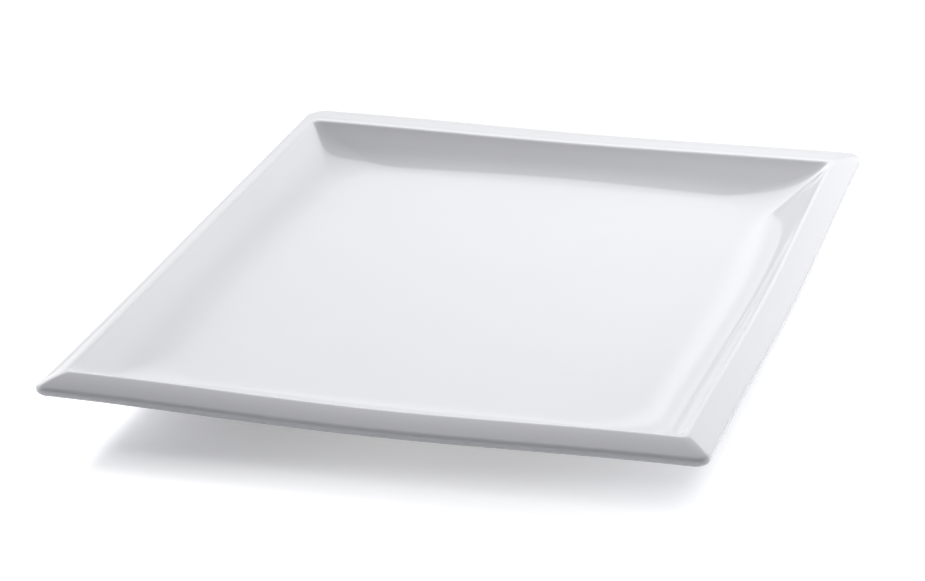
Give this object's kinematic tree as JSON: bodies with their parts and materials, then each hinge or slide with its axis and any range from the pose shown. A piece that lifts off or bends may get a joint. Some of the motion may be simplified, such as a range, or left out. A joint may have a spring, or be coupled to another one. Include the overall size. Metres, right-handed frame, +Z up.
{
  "type": "cheese plate",
  "caption": "Rectangular white porcelain plate with a flat well inside a raised bevelled rim with mitred corners, wider along the back, standing on a bare foot ring, for serving cheese.",
  "frame": {"origin": "centre of the plane that the foot ring rests on", "axes": "+Z up out of the well, +X to the right along the short front edge, +Y along the long sides to the back"},
  "size_m": [0.265, 0.325, 0.028],
  "materials": {
    "glazed_porcelain": "white porcelain under a clear gloss glaze",
    "bare_porcelain": "unglazed, ground matt"
  },
  "bodies": {
    "root": {"plate_body": "glazed_porcelain", "foot_ring": "bare_porcelain"}
  },
  "joints": []
}
